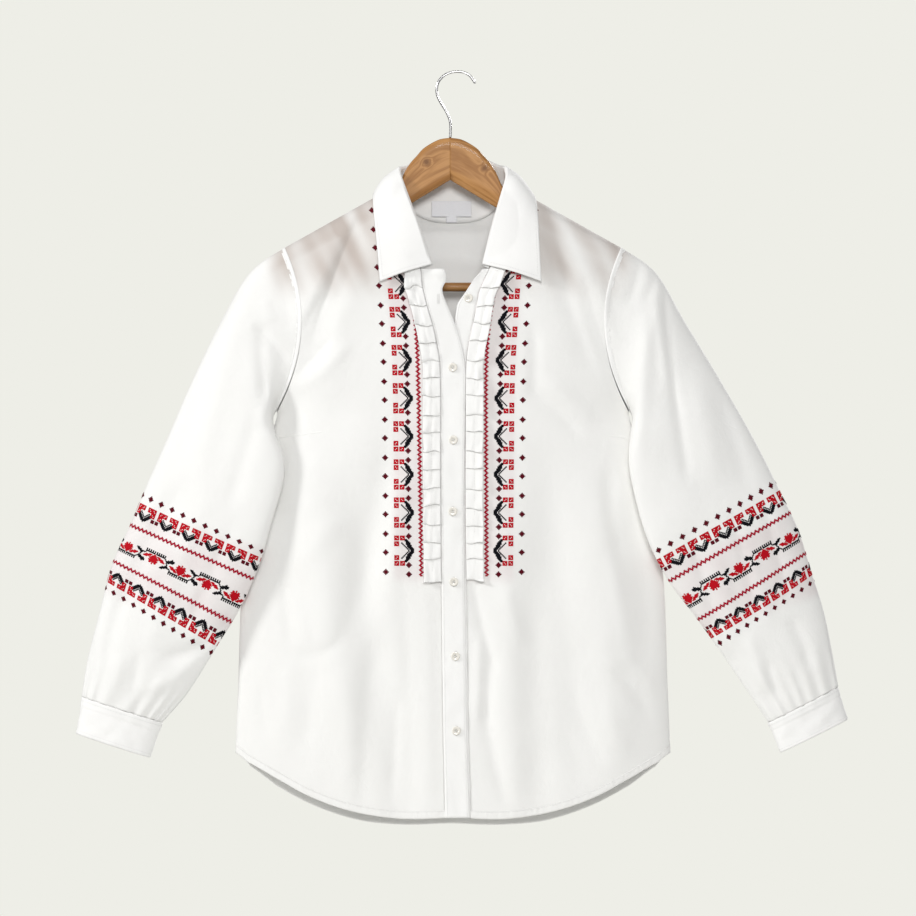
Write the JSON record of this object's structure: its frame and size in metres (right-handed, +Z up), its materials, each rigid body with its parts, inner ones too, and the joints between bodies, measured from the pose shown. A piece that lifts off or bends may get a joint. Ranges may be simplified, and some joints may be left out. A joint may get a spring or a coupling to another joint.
{
  "type": "embroidered folk blouse on a wooden clothes hanger",
  "caption": "White long-sleeved cotton blouse with cross-stitch bands, pleated ruffles, turned collar and shirt-tail hem, on a wooden hanger with a wire hook.",
  "frame": {"origin": "inside of the hook's bend, where a nail or rail holds the hanger", "axes": "+Z up, the blouse's front faces -Y, +X toward the wearer's left sleeve"},
  "size_m": [0.8856, 0.0794, 0.8691],
  "materials": {
    "white_cotton": "plain woven cotton, matt",
    "shell_button": "satin gloss",
    "label_satin": "satin weave",
    "varnished_beech": "clear satin varnish",
    "chromed_wire": "polished"
  },
  "bodies": {
    "root": {"back": "white_cotton", "front_right": "white_cotton", "front_left": "white_cotton", "placket_left": "white_cotton", "placket_right": "white_cotton", "ruffle_right": "white_cotton", "ruffle_left": "white_cotton", "collar": "white_cotton", "sleeve_right": "white_cotton", "sleeve_left": "white_cotton", "cuff_right": "white_cotton", "cuff_left": "white_cotton", "cuff_button_right": "shell_button", "cuff_button_left": "shell_button", "button_1": "shell_button", "button_2": "shell_button", "button_3": "shell_button", "button_4": "shell_button", "button_5": "shell_button", "button_6": "shell_button", "button_7": "shell_button", "neck_label": "label_satin", "size_tab": "label_satin", "hanger_arm_right": "varnished_beech", "hanger_arm_left": "varnished_beech", "hanger_bar": "varnished_beech", "hanger_hook": "chromed_wire"}
  },
  "joints": []
}
